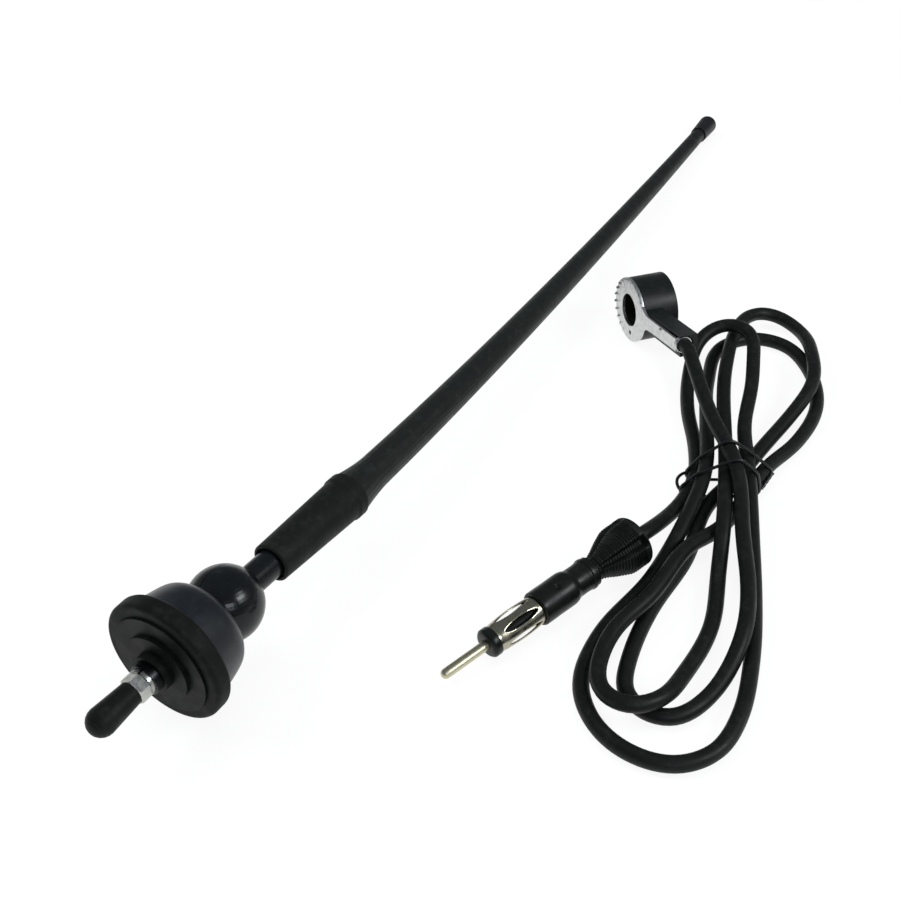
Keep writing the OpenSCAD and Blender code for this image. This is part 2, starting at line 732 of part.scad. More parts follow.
module plug_collar() {
    color("#1f2122") on_plug() difference() {
        turned([[0, pin_l], [nose_r - nose_bevel, pin_l], [nose_r, nose_at], [nose_r, shell_at - 1.6],
            [nose_r - 0.6, shell_at], [0, shell_at]]);
        rod(pin_core_r + fit, pin_l - cut, shell_at + cut);
    }
}

module plug_insulator() {
    color("#262829") on_plug() difference() {
        rod(insulator_r, shell_at, sleeve_at + shell_tail);
        rod(pin_core_r + fit, shell_at - cut, pin_tail + fit);
    }
}

// Tube that bulges between its ends, cut by long pointed slots
module plug_shell() {
    steps = 8;
    bulge_l = shell_l - 2;
    side = [for (i = [0 : steps])
        [shell_r + shell_bulge * sin(180 * i / steps), shell_at + 1 + bulge_l * i / steps]];
    wall = [for (i = [steps : -1 : 0])
        [shell_r - shell_wall + shell_bulge * sin(180 * i / steps), shell_at + 1 + bulge_l * i / steps]];
    tail = sleeve_at + shell_tail;
    slot_round = (slot_l * slot_l + slot_w * slot_w) / (4 * slot_w);
    color("#cfd0c8") on_plug() difference() {
        turned(concat([[shell_r - shell_wall, shell_at], [shell_r, shell_at]], side,
            [[shell_r, tail], [shell_r - shell_wall, tail]], wall), 72);
        for (k = [0 : slots - 1]) rotate([360 * k / slots, 0, 0])
            translate([shell_at + 1 + bulge_l / 2, 0, shell_r - 3 * shell_wall]) intersection() {
                translate([0, slot_round - slot_w / 2, 0]) cylinder(r = slot_round, h = shell_r);
                translate([0, slot_w / 2 - slot_round, 0]) cylinder(r = slot_round, h = shell_r);
            }
    }
}

module plug_sleeve() {
    color("#1e2021") on_plug() difference() {
        turned([[0, sleeve_at], [sleeve_r - 0.3, sleeve_at], [sleeve_r, sleeve_at + 0.3],
            [sleeve_r, tail_at - 1], [sleeve_tail_r, tail_at], [sleeve_tail_r, rear_ring_at],
            [0, rear_ring_at]]);
        rod(shell_r + fit, sleeve_at - cut, sleeve_at + shell_tail + fit);
        rotate([-30, 0, 0]) translate([sleeve_at + sleeve_l * 0.55, 0, sleeve_r - dimple_d])
            cylinder(r = dimple_r, h = dimple_d + cut);
    }
}

module plug_rear_ring() {
    edge = 0.3;
    groove_at = rear_ring_at + rear_ring_l / 2;
    color("#232526") on_plug() turned([[0, rear_ring_at], [rear_ring_r - edge, rear_ring_at],
        [rear_ring_r, rear_ring_at + edge], [rear_ring_r, groove_at - edge], [rear_ring_r - 0.5, groove_at],
        [rear_ring_r - edge, grommet_at - edge], [rear_ring_r - 0.8, grommet_at], [0, grommet_at]]);
}

// Ribbed cone with channels along it and a plain rim
module cable_grommet() {
    cone_l = grommet_l - grommet_rim_l;
    pitch = cone_l / ribs;
    slope_r = (grommet_r - 0.4 - neck_r) / cone_l;
    rib_steps = [[0, 0], [0.55, 0], [0.6, rib_d], [0.95, rib_d]];
    rib = [for (i = [0 : ribs - 1], q = rib_steps) let (at = (i + q[0]) * pitch)
        [neck_r + slope_r * at - q[1], grommet_at + at]];
    color("#222425") on_plug() difference() {
        turned(concat([[0, grommet_at]], rib, [[grommet_r - 0.4, plug_end - grommet_rim_l],
            [grommet_r, rim_at], [grommet_r, plug_end], [0, plug_end]]));
        for (k = [0 : channels - 1]) rotate([360 * (k + 0.5) / channels, 0, 0])
            translate([grommet_at + 2, 0, neck_r + 2 * slope_r + 0.6]) rotate([0, 90 - atan(slope_r), 0])
                cylinder(r = channel_r, h = cone_l - 1.6);
    }
}

// Place across the bundle and height of strand k where it passes a plane across the bundle
bundle_way = [cos(bundle_turn), sin(bundle_turn), 0];
bundle_side = [sin(bundle_turn), -cos(bundle_turn), 0];
line = lead_line();
function tie_middle(k = 0) = k == len(TIED) ? [0, 0, 0] : ROUTE[TIED[k]] / len(TIED) + tie_middle(k + 1);
function off_plane(p, at) = (p - tie_middle()) * bundle_way - at;
function ring_at(k) = [for (i = [0 : len(line) - 1]) if (norm(line[i] - lead_point(ROUTE[k])) < fit) i][0];
function strand(k, at) = let (m = ring_at(k), p = [for (i = [m - 4 : m + 3])
    let (u = off_plane(line[i], at), v = off_plane(line[i + 1], at))
    if (u * v <= 0) line[i] + (line[i + 1] - line[i]) * u / (u - v)][0])
    [(p - tie_middle()) * bundle_side, p[2]];

module across_bundle(at) {
    middle = tie_middle();
    translate([middle[0], middle[1], 0] + at * bundle_way) rotate([90, 0, bundle_turn - 90]) children();
}

module bundle_outline(at, proud) {
    hull() for (k = TIED) translate(strand(k, at)) circle(r = cable_r + proud, $fn = 32);
}

// End of the tie's knot in one band, beside the rightmost strand
module knot_end(at) {
    places = [for (k = TIED) strand(k, at)];
    right = max([for (p = places) p[0]]);
    beside = [for (p = places) if (p[0] == right) p][0];
    across_bundle(at) translate([right + cable_r + tie_gap + tie_t + knot_gap, beside[1], 0])
        cylinder(r = tie_t, h = tie_w + 4 * fit, center = true, $fn = 16);
}

// Two bands round the strands and the twisted end that joins them at the right
module cable_tie() {
    ends = [-tie_step / 2, tie_step / 2];
    color("#151617") {
        for (at = ends) across_bundle(at) linear_extrude(tie_w, center = true) difference() {
            bundle_outline(at, tie_gap + tie_t);
            bundle_outline(at, tie_gap);
            translate([-tie_reach, -2 * tie_reach]) square(2 * tie_reach);
        }
        hull() for (at = ends) knot_end(at);
    }
}

bell_housing();
base_gasket();
base_plate();
insulator_hub();
hub_collar();
lock_washer();
mounting_nut();
mounting_stud();
stud_cap();
base_ball_half();
mast_ball_half();
pivot_screw();
pivot_spring_washer();
grip_sleeve();
mast_ferrule();
mast();
tip_cap();
clamp_housing();
ground_plate();
contact_bush();
centre_contact();
cable();
cable_tie();
cable_grommet();
plug_sleeve();
plug_rear_ring();
plug_shell();
plug_collar();
plug_insulator();
plug_pin();
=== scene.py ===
"""Looks of the car antenna: the lead and its tie in detail, materials for every piece, lights and camera."""

import math

import bmesh
import bpy
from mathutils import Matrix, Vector


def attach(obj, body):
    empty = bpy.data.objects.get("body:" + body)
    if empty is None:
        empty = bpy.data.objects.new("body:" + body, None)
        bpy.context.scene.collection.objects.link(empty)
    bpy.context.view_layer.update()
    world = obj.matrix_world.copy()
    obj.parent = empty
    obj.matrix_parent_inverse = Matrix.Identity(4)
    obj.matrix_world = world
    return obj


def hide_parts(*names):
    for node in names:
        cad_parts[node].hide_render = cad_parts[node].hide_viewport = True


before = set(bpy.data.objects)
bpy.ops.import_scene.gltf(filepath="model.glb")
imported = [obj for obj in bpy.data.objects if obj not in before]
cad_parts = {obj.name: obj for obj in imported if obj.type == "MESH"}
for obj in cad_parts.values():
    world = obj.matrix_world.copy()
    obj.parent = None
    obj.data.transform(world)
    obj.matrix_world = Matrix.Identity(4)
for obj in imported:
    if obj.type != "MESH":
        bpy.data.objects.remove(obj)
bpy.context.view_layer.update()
ROOT = "base_and_lead"
MM = 0.001
FULL_TURN = 2 * math.pi

scene = bpy.context.scene
scene.view_settings.view_transform = "Standard"


def add_object(name, data):
    obj = bpy.data.objects.new(name, data)
    scene.collection.objects.link(obj)
    return obj


# Camera

CAMERA_AT = (-0.38597, -0.21319, 0.31868)
CAMERA_TILT = math.radians(50.5)
CAMERA_TURN = math.radians(-57.8)
CAMERA_LENS = 53.134
SENSOR_W = 36.0

camera_data = bpy.data.cameras.new("camera")
camera_data.sensor_width = SENSOR_W
camera_data.lens = CAMERA_LENS
camera_data.clip_start = 0.01
camera = add_object("camera", camera_data)
camera.location = CAMERA_AT
camera.rotation_euler = (CAMERA_TILT, 0.0, CAMERA_TURN)
scene.camera = camera

# Route of the lead, as in the part's source, in millimetres

CABLE_R = 2.7
RING_R = 13.5
CONNECTOR_AT = Vector((44, -30, RING_R))
CONNECTOR_TURN = math.radians(-130)
ARM_RISE = math.radians(13.7)
ARM_L = 46
CRIMP_L = 4
CABLE_DROP = CABLE_R + 0.15 + 0.2

PLUG_AT = (-157, -66)
PLUG_TURN = math.radians(-17.6)
NOSE_AT = 18.5
NOSE_R = 5
PLUG_END = 83.5
RIM_AT = PLUG_END - 2
GROMMET_R = 9.5
PLUG_RISE = math.atan((GROMMET_R - NOSE_R) / (RIM_AT - NOSE_AT))
PLUG_Z = NOSE_R * math.cos(PLUG_RISE) - NOSE_AT * math.sin(PLUG_RISE)
STRAIGHT_L = 6


def heading(turn, rise):
    return Vector((math.cos(rise) * math.cos(turn), math.cos(rise) * math.sin(turn), math.sin(rise)))


arm_way = heading(CONNECTOR_TURN, ARM_RISE)
face_way = Vector((math.sin(CONNECTOR_TURN), -math.cos(CONNECTOR_TURN), 0))
plug_way = heading(PLUG_TURN, PLUG_RISE)
floor_lift = Vector((0, 0, CABLE_R))
crimp_mouth = CONNECTOR_AT + ARM_L * arm_way - CABLE_DROP * face_way
rim_middle = Vector((*PLUG_AT, PLUG_Z)) + PLUG_END * plug_way

# x, y and lift above the floor
LAID = [
    # down from the crimp to the tie
    (8, -75, 19), (-11, -91, 15), (-24, -105, 12.5),
    # round the inner loop and back to the tie
    (-57, -123, 7.5), (-76, -133, 5.5), (-94, -139, 5), (-109, -140, 0.5), (-124, -138, 0), (-133, -134, 0),
    (-136, -125, 0), (-132, -116, 0), (-121, -112, 0), (-97, -108, 0), (-68, -108, 0), (-38, -103, 0.5),
    (-23, -106, 1.5),
    # round the outer loop above the tie
    (4, -108, 1.5), (25, -110, 2.5), (42, -111, 5.5), (61, -104, 5.5), (82, -90, 1.5), (86, -80, 2),
    (83, -73, 3), (75, -70, 4), (61, -71, 5.5), (34, -78, 6.5), (-25, -103, 7),
    # round the middle loop below the tie
    (-50, -113, 8), (-69, -120, 1), (-93, -128, 0), (-119, -129, 1.5), (-131, -129, 5), (-139, -125, 6),
    (-142, -117, 6), (-139, -110, 6), (-130, -106, 6), (-112, -104, 6), (-99, -107, 6), (-69, -108, 6.5),
    (-49, -112, 1), (-19, -113, 1.5),
    # round the second loop above the tie
    (-13, -113, 1.5), (11, -117, 0), (36, -116, 0), (59, -104, 0), (70, -90, 0), (68, -77, 0),
    (55, -68, 0), (30, -73, 0.5), (-3, -86, 6), (-29, -97, 6.5),
    # round the outer loop below the tie
    (-56, -101, 3), (-84, -102, 0), (-116, -99, 0), (-138, -104, 0), (-149, -116, 0), (-152, -129, 0),
    (-149, -141, 0), (-139, -149, 0), (-122, -150, 0), (-101, -145, 0), (-74, -135, 0), (-52, -125, 2),
    (-21, -110, 7.5),
    # round the small loop above the tie
    (-1, -100, 7.5), (29, -91, 8), (44, -85, 10), (53, -81, 12), (56, -73, 12.5), (53, -66, 11),
    (44, -62, 8), (29, -65, 2), (8, -74, 0), (-12, -86, 1), (-31, -94, 1.5),
    # from the tie to the grommet
    (-41, -95, 1), (-58, -94, 3),
]
ROUTE = [crimp_mouth - CRIMP_L * arm_way - floor_lift, crimp_mouth + arm_way - floor_lift,
         *(Vector(p) for p in LAID),
         rim_middle + STRAIGHT_L * plug_way - floor_lift, rim_middle - floor_lift]
# the route's points under the tie, one on each strand
TIED = (4, 17, 28, 42, 52, 65, 76)


def spans_of(points):
    return [(b - a).length for a, b in zip(points, points[1:])]


def slopes_of(points):
    """Unit-speed slopes at the points, each weighted by the length of the spans beside it."""
    span = spans_of(points)
    step = [(b - a) / s for a, b, s in zip(points, points[1:], span)]
    inner = [(step[i - 1] * span[i] + step[i] * span[i - 1]) / (span[i - 1] + span[i])
             for i in range(1, len(points) - 1)]
    return [step[0], *inner, step[-1]]


SLOPES = slopes_of(ROUTE)
SPANS = spans_of(ROUTE)


def curve_point(i, t):
    a, b = ROUTE[i], ROUTE[i + 1]
    u, v = SLOPES[i] * SPANS[i], SLOPES[i + 1] * SPANS[i]
    return ((2 * t**3 - 3 * t**2 + 1) * a + (t**3 - 2 * t**2 + t) * u
            + (3 * t**2 - 2 * t**3) * b + (t**3 - t**2) * v)


def smooth_line(step=2.0, passes=12, kept=4):
    """The curve through the route in short steps, evened out, and the step where each route point lies."""
    line, at = [], []
    for i, span in enumerate(SPANS):
        at.append(len(line))
        count = max(1, round(span / step))
        line += [curve_point(i, n / count) for n in range(count)]
    line.append(ROUTE[-1])
    at.append(len(line) - 1)
    for _ in range(passes):
        inner = [(line[i - 1] + 2 * line[i] + line[i + 1]) / 4 for i in range(kept, len(line) - kept)]
        line = line[:kept] + inner + line[-kept:]
    return [Vector((p.x, p.y, max(p.z, 0))) for p in line], at


LINE, LINE_AT = smooth_line()


def lifted(point):
    """The place of the lead's middle in metres, never lower than the floor lets it lie."""
    return Vector((point.x, point.y, max(point.z, 0) + CABLE_R)) * MM


def add_curve(name, resolution):
    """Empty round tube. Its bevel is 1 m, so that a point's radius is its own radius in metres."""
    data = bpy.data.curves.new(name, "CURVE")
    data.dimensions = "3D"
    data.use_fill_caps = True
    data.bevel_depth = 1.0
    data.bevel_resolution = resolution
    return add_object(name, data)


def poly_curve(obj, points, radius, closed=False):
    spline = obj.data.splines.new("POLY")
    spline.points.add(len(points) - 1)
    for knot, p in zip(spline.points, points):
        knot.co = (*p, 1)
        knot.radius = radius * MM
    spline.use_cyclic_u = closed


lead = add_curve("lead", 5)
poly_curve(lead, [lifted(p) for p in LINE], CABLE_R)
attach(lead, ROOT)
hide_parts("cable")

# Tie: two bands round the bundle, twisted ends and a loose loop

TIE_STEP = 9
TIE_R = 0.6
BUNDLE_TURN = math.radians(32)
TWISTS = 2
TWIST_R = 0.42
TWIST_OUT = 0.2
LOOP_OUT = 2.2
LOOP_UP = 0.4
LOOP_FULLNESS = 0.7
bundle_way = Vector((math.cos(BUNDLE_TURN), math.sin(BUNDLE_TURN), 0))
bundle_side = Vector((math.sin(BUNDLE_TURN), -math.cos(BUNDLE_TURN), 0))
tie_middle = sum((ROUTE[k] for k in TIED), Vector()) / len(TIED)


def strand(k, at, reach=12, parts=4):
    """Place across the bundle and height of strand k in the plane at that distance along the bundle."""
    steps = LINE[LINE_AT[k] - reach:LINE_AT[k] + reach]
    near = [a.lerp(b, t / parts) for a, b in zip(steps, steps[1:]) for t in range(parts)]
    p = min(near, key=lambda q: abs((q - tie_middle).dot(bundle_way) - at))
    return (p - tie_middle).dot(bundle_side), max(p.z, 0) + CABLE_R


def hull_of(points):
    """Convex outline of flat points, anticlockwise."""
    points = sorted(set(points))

    def half(run):
        out = []
        for p in run:
            while len(out) > 1 and ((out[-1][0] - out[-2][0]) * (p[1] - out[-2][1])
                                    - (out[-1][1] - out[-2][1]) * (p[0] - out[-2][0])) <= 0:
                out.pop()
            out.append(p)
        return out[:-1]

    return half(points) + half(points[::-1])


def in_world(flat, at):
    """Place in metres of a point of the plane at that distance along the bundle."""
    foot = Vector((tie_middle.x, tie_middle.y, 0)) + bundle_way * at
    return (foot + bundle_side * flat[0] + Vector((0, 0, flat[1]))) * MM


def even(points, step):
    """Closed outline with its points at about even steps."""
    ring = [Vector(p) for p in points]
    ring.append(ring[0])
    reach = [0.0]
    for a, b in zip(ring, ring[1:]):
        reach.append(reach[-1] + (b - a).length)
    count = round(reach[-1] / step)
    out = []
    i = 0
    for n in range(count):
        at = reach[-1] * n / count
        while reach[i + 1] < at:
            i += 1
        out.append(ring[i].lerp(ring[i + 1], (at - reach[i]) / max(reach[i + 1] - reach[i], 1e-6)))
    return out


def band_outline(at, proud, around=36, step=1.2):
    """Outline that a taut band takes round all the strands, its middle that far outside them."""
    reach = CABLE_R + proud
    ring = []
    for k in TIED:
        x, z = strand(k, at)
        for n in range(around):
            a = math.radians(360 * n / around)
            ring.append((x + reach * math.cos(a), max(z + reach * math.sin(a), proud)))
    return even(hull_of(ring), step)


def across(ends, shift, count):
    """Path from one band to the other in even steps; shift(t) moves it aside and up."""
    (low, low_at), (high, high_at) = ends
    path = []
    for n in range(count + 1):
        t = n / count
        aside, up = shift(t)
        flat = (low[0] + (high[0] - low[0]) * t + aside, low[1] + (high[1] - low[1]) * t + up)
        path.append(in_world(flat, low_at + (high_at - low_at) * t))
    return path


def twist(phase):
    """Shift of one of the two ends that are twisted round each other."""
    def shift(t):
        a = FULL_TURN * TWISTS * t + phase
        return TWIST_OUT + TWIST_R * math.cos(a), TWIST_R * math.sin(a)
    return shift


def loose_loop(t):
    out = LOOP_OUT * math.sin(math.pi * t) ** LOOP_FULLNESS
    return -out, LOOP_UP * out


def make_tie():
    """Bands with the twisted ends on their right and the loose loop on their left."""
    obj = add_curve("tie", 3)
    right, left = [], []
    for at in (-TIE_STEP / 2, TIE_STEP / 2):
        outline = band_outline(at, TIE_R)
        poly_curve(obj, [in_world(p, at) for p in outline], TIE_R, True)
        right.append((max(outline, key=lambda p: p[0]), at))
        left.append((min(outline, key=lambda p: p[0]), at))
    for phase in (0, math.pi):
        poly_curve(obj, across(right, twist(phase), 48), TIE_R)
    poly_curve(obj, across(left, loose_loop, 24), TIE_R)
    return obj


tie = make_tie()
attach(tie, ROOT)
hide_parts("cable_tie")

# Turned and plated pieces

WELD = 0.002 * MM


def share(value):
    """Value held between 0 and 1."""
    return min(max(value, 0), 1)


def smooth_rows(points, steps=6):
    """Rows of an even curve through the given rows."""
    ends = [points[0], *points, points[-1]]
    out = []
    for a, b, c, d in zip(ends, ends[1:], ends[2:], ends[3:]):
        for n in range(steps):
            t = n / steps
            out.append(tuple(0.5 * (2 * q + (r - p) * t + (2 * p - 5 * q + 4 * r - u) * t * t
                                    + (3 * q - p - 3 * r + u) * t ** 3) for p, q, r, u in zip(a, b, c, d)))
    return out + [points[-1]]


class Place:
    """Own axes of a piece: along its axis, to its side, and the third square to both."""

    def __init__(self, origin, axis, side):
        self.origin = Vector(origin)
        self.axis = Vector(axis).normalized()
        self.side = (Vector(side) - self.axis * self.axis.dot(Vector(side))).normalized()
        self.third = self.axis.cross(self.side)

    def at(self, along, a, b):
        return (self.origin + self.axis * along + self.side * a + self.third * b) * MM


def welded_mesh(name, points, faces):
    """Mesh whose doubled points are joined and whose faces agree on their outer side."""
    mesh = bpy.data.meshes.new(name)
    mesh.from_pydata([tuple(p) for p in points], [], faces)
    work = bmesh.new()
    work.from_mesh(mesh)
    bmesh.ops.remove_doubles(work, verts=work.verts, dist=WELD)
    bmesh.ops.recalc_face_normals(work, faces=work.faces)
    work.to_mesh(mesh)
    work.free()
    return mesh


def add_piece(name, points, faces, node, slot, sharp):
    """Piece in place of a node; edges over sharp degrees stay crisp."""
    mesh = welded_mesh(name, points, faces)
    mesh.shade_smooth()
    mesh.set_sharp_from_angle(angle=math.radians(sharp))
    obj = add_object(name, mesh)
    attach(obj, ROOT)
    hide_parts(node)
    return obj


def turned(place, rows, around, form=None):
    """Points and faces of a turned form; form(along, radius, angle) may change a point's place."""
    points, faces = [], []
    for i, (along, radius) in enumerate(rows):
        for n in range(around):
            a = FULL_TURN * n / around
            x, r = form(along, radius, a) if form else (along, radius)
            points.append(place.at(x, r * math.cos(a), r * math.sin(a)))
        if i:
            low, high = (i - 1) * around, i * around
            faces += [(low + n, low + (n + 1) % around, high + (n + 1) % around, high + n)
                      for n in range(around)]
    return points, faces


# Bell over the ball's fixed half

BALL = (-180.959, -2.058, 21.5)
BOWL_R = 12.8

base_place = Place(BALL, (-1, 0, 0), (0, 0, 1))
bowl = [(BOWL_R * math.sin(math.radians(d)), BOWL_R * math.cos(math.radians(d)))
        for d in range(61, 35, -2)]
shoulder = smooth_rows([(7.7, 12.5), (8.3, 13.6), (9.4, 15.1), (11, 16.4), (13, 17.2), (16, 17.9),
                        (19, 18.45), (22.1, 18.95)])
bell_rows = (bowl + [(7.3, 10.55), (7.3, 11.7), (7.42, 12.05)] + shoulder
             + [(22.4, 18.9), (22.5, 18.7), (22.5, 17.6)])
bell = add_piece("bell", *turned(base_place, bell_rows, 144), "bell_housing", "gloss_black", 50)

# Grommet behind the plug: ribbed cone, plain rim, four channels

EYE_TURN = math.radians(-57)
CHANNEL_TURN = EYE_TURN + math.radians(14)
CHANNEL_HALF = 0.22
CHANNEL_DEPTH = 0.3
GROMMET_AT = 64.2
GROMMET_END = 84.8
RIBS_END = 82.2
RIB_PITCH = 1.0
RIB_DEPTH = 0.45

plug_place = Place((*PLUG_AT, PLUG_Z), plug_way, (math.sin(PLUG_TURN), -math.cos(PLUG_TURN), 0))


def grommet_form(along, radius, angle):
    """Four channels, a quarter turn apart, that run out before both ends."""
    turn = (angle - CHANNEL_TURN + math.pi / 4) % (math.pi / 2) - math.pi / 4
    dip = math.exp(-(turn / CHANNEL_HALF) ** 6)
    ends = share((along - GROMMET_AT - 1.2) / 1.5) * share((GROMMET_END - 0.7 - along) / 0.8)
    return along, radius - CHANNEL_DEPTH * radius * dip * ends


def groove(along):
    """Depth of the grooves between the ribs."""
    if not GROMMET_AT + 0.6 < along < RIBS_END:
        return 0
    wave = 0.5 - 0.5 * math.cos(FULL_TURN * (along - GROMMET_AT) / RIB_PITCH)
    return RIB_DEPTH * min(wave * 1.5, 1)


cone = smooth_rows([(GROMMET_AT, 3.9), (68, 5.2), (72.5, 7.3), (76, 8.7), (77.4, 9.0), (80, 9.1),
                    (GROMMET_END - 0.6, 9.05)], 24)
grommet_rows = ([(GROMMET_AT + 0.5, 2.9), (GROMMET_AT, 3.3)]
                + [(x, r - groove(x)) for x, r in cone]
                + [(GROMMET_END - 0.2, 8.9), (GROMMET_END, 8.5), (GROMMET_END, 5.2),
                   (GROMMET_END - 0.7, 4.9), (GROMMET_END - 0.7, 3.0), (GROMMET_END - 3, 2.8)])
grommet = add_piece("grommet", *turned(plug_place, grommet_rows, 192, grommet_form), "cable_grommet",
                    "black_moulding", 40)

# Pin and bevelled collar of the plug

SHELL_AT = 21.3
SHELL_END = 41.6
PIN_R = 1.7

pin_rows = ([(0, 0.0), (0.05, 0.5), (0.35, 1.1), (0.9, 1.5), (1.6, PIN_R - 0.02)]
            + [(n, PIN_R) for n in range(3, 18, 3)] + [(SHELL_AT, PIN_R)])
pin = add_piece("pin", *turned(plug_place, pin_rows, 48), "plug_pin", "nickel", 50)
collar_rows = [(18.3, 1.6), (18.1, 1.9), (18.1, 4.0), (18.25, 4.3), (18.8, 4.85), (19.05, 4.98), (19.4, 5.0),
               (21.1, 5.0), (SHELL_AT, 4.9), (SHELL_AT, 4.0)]
collar = add_piece("collar", *turned(plug_place, collar_rows, 96), "plug_collar", "plug_moulding", 30)

# Slotted, slightly bulged shell of the plug

SHELL_R = 4.72
SHELL_BULGE = 0.55
SHELL_WALL = 0.5
SLOTS = 6
SLOT_HALF = 1.45
SLOT_FROM = SHELL_AT + 2.9
SLOT_TO = SHELL_END - 3.5
EDGE_ROUND = 0.12


def shell_r(along):
    t = share((along - SHELL_AT - 0.8) / (SHELL_END - SHELL_AT - 1.6))
    return SHELL_R + SHELL_BULGE * math.sin(math.pi * t) ** 0.8


def slot_half(along):
    """Half width of a slot there, 0 before and behind it."""
    t = (along - SLOT_FROM) / (SLOT_TO - SLOT_FROM)
    return SLOT_HALF * math.sin(math.pi * t) ** 0.55 if 0 < t < 1 else 0


def slotted_shell(wide=16, length=90):
    """One stave between each two slots, with an outer and an inner skin and walls along the slots."""
    row = wide + 1
    layer = (length + 1) * row
    points, faces = [], []
    for part in range(SLOTS):
        middle = EYE_TURN + FULL_TURN * (part + 0.5) / SLOTS
        for inner in (False, True):
            for i in range(length + 1):
                x = SHELL_AT + (SHELL_END - SHELL_AT) * i / length
                gap = slot_half(x)
                half = math.pi / SLOTS - gap / shell_r(x)
                for n in range(row):
                    a = middle + half * (2 * n / wide - 1)
                    r = shell_r(x) - (SHELL_WALL if inner else 0)
                    if n in (0, wide) and gap and not inner:
                        r -= EDGE_ROUND
                    points.append(plug_place.at(x, r * math.cos(a), r * math.sin(a)))
        base = part * 2 * layer
        for i in range(length):
            for n in range(wide):
                for skin in (0, layer):
                    k = base + skin + i * row + n
                    faces.append((k, k + 1, k + row + 1, k + row))
            if SLOT_FROM < SHELL_AT + (SHELL_END - SHELL_AT) * (i + 0.5) / length < SLOT_TO:
                for n in (0, wide):
                    k = base + i * row + n
                    faces.append((k, k + row, k + row + layer, k + layer))
    return points, faces


# Sleeve behind the shell, with a soft waist and a dimple

SLEEVE_AT = 39.7
SLEEVE_END = 61.5
DIMPLE_AT = 48.2
DIMPLE_TURN = EYE_TURN - math.radians(20)
DIMPLE_R = 0.95
DIMPLE_DEPTH = 0.9


def sleeve_form(along, radius, angle):
    turn = (angle - DIMPLE_TURN + math.pi) % FULL_TURN - math.pi
    far = math.hypot(along - DIMPLE_AT, radius * turn)
    return along, radius - DIMPLE_DEPTH * math.exp(-(far / DIMPLE_R) ** 4)


sleeve_waist = smooth_rows([(SLEEVE_AT + 0.5, 6.0), (43, 6.03), (46, 6.0), (48, 6.0), (50, 6.02),
                            (52.6, 6.02), (54, 5.8), (55.2, 5.35), (56.4, 5.18), (59.4, 5.16),
                            (60.9, 5.3), (SLEEVE_END - 0.1, 5.34)], 10)
sleeve_rows = ([(SLEEVE_AT + 2, 5.0), (SLEEVE_AT, 5.1), (SLEEVE_AT, 5.65), (SLEEVE_AT + 0.12, 5.85)]
               + sleeve_waist + [(SLEEVE_END, 5.2), (SLEEVE_END, 3.0)])
sleeve = add_piece("sleeve", *turned(plug_place, sleeve_rows, 180, sleeve_form), "plug_sleeve",
                   "plug_moulding", 40)
shell = add_piece("shell", *slotted_shell(), "plug_shell", "nickel", 35)

# Toothed ring of the connector with its arm and crimp

RING_T = 1.2
RING_HOLE_R = 6.8
TEETH = 24
TEETH_FROM_R = 11.7
TOOTH_H = 0.12
FAR_TOOTH_H = 1.2
BAR_BEVEL = 0.25
BUMP_AT = 30
BUMP_ASIDE = 1.7
BUMP_R = 0.75
HOLE_AT = (0.8, -9.7)
HOLE_R = 0.95
DRILL_REACH = 4

disc_place = Place(CONNECTOR_AT, face_way, arm_way)
crimp_place = Place(CONNECTOR_AT - CABLE_DROP * face_way, arm_way, face_way)
bump_middle = CONNECTOR_AT + BUMP_AT * arm_way + BUMP_ASIDE * face_way.cross(arm_way)
bump_place = Place(bump_middle, face_way, arm_way)


def ring_form(along, radius, angle):
    """Low serrations round the face, higher on the side away from the arm."""
    wave = max(0.0, math.cos(TEETH * angle)) ** 2
    far = max(0.0, -math.cos(angle) - 0.35) * FAR_TOOTH_H
    rise = (TOOTH_H + far) * wave if along >= -0.01 and radius > TEETH_FROM_R else 0
    return along + rise, radius


def strip(outline, low, high):
    """Points and faces of a flat bar with bevelled edges, from half widths along the arm."""
    rows = []
    for inset, z in ((BAR_BEVEL, low), (0.0, low + BAR_BEVEL), (0.0, high - BAR_BEVEL), (BAR_BEVEL, high)):
        rows.append([(x, w - inset, z) for x, w in outline]
                    + [(x, inset - w, z) for x, w in reversed(outline)])
    count = len(rows[0])
    points = [disc_place.at(z, x, y) for row in rows for x, y, z in row]
    faces = [(i + n, i + (n + 1) % count, i + count + (n + 1) % count, i + count + n)
             for i in range(0, 3 * count, count) for n in range(count)]
    half = count // 2
    for i in (0, 3):
        faces += [(i * count + n, i * count + n + 1, i * count + count - 2 - n, i * count + count - 1 - n)
                  for n in range(half - 1)]
    return points, faces


def joined(*forms):
    points, faces = [], []
    for more, sides in forms:
        faces += [tuple(k + len(points) for k in f) for f in sides]
        points += more
    return points, faces


ring_rows = [(-0.15, RING_HOLE_R), (0, RING_HOLE_R + 0.15), (0, 9), (0, 11.6), (0, 11.9), (0, 12.6),
             (0, 13.1), (-0.12, 13.4), (-0.5, RING_R), (-RING_T, RING_R), (-RING_T, RING_HOLE_R),
             (-0.15, RING_HOLE_R)]
arm_outline = smooth_rows([(9, 6.6), (12, 5.6), (14.5, 4.1), (17, 3.1), (20, 2.95), (26, 2.85), (36, 2.8),
                           (43.4, 2.8)], 4)
crimp_rows = [(42.6, 2.9), (42.6, 3.3), (42.75, 3.4), (44.6, 3.4), (44.75, 3.3), (44.75, 2.9), (42.6, 2.9)]
bump_rows = [(BUMP_R * math.cos(math.radians(d)) - 0.1, BUMP_R * math.sin(math.radians(d)))
             for d in range(0, 106, 15)]
plate_form = joined(turned(disc_place, ring_rows, TEETH * 10, ring_form),
                    strip(arm_outline, -RING_T, -0.02),
                    turned(crimp_place, crimp_rows, 48),
                    turned(bump_place, bump_rows, 24))
plate = add_piece("plate", *plate_form, "ground_plate", "bright_casting", 40)


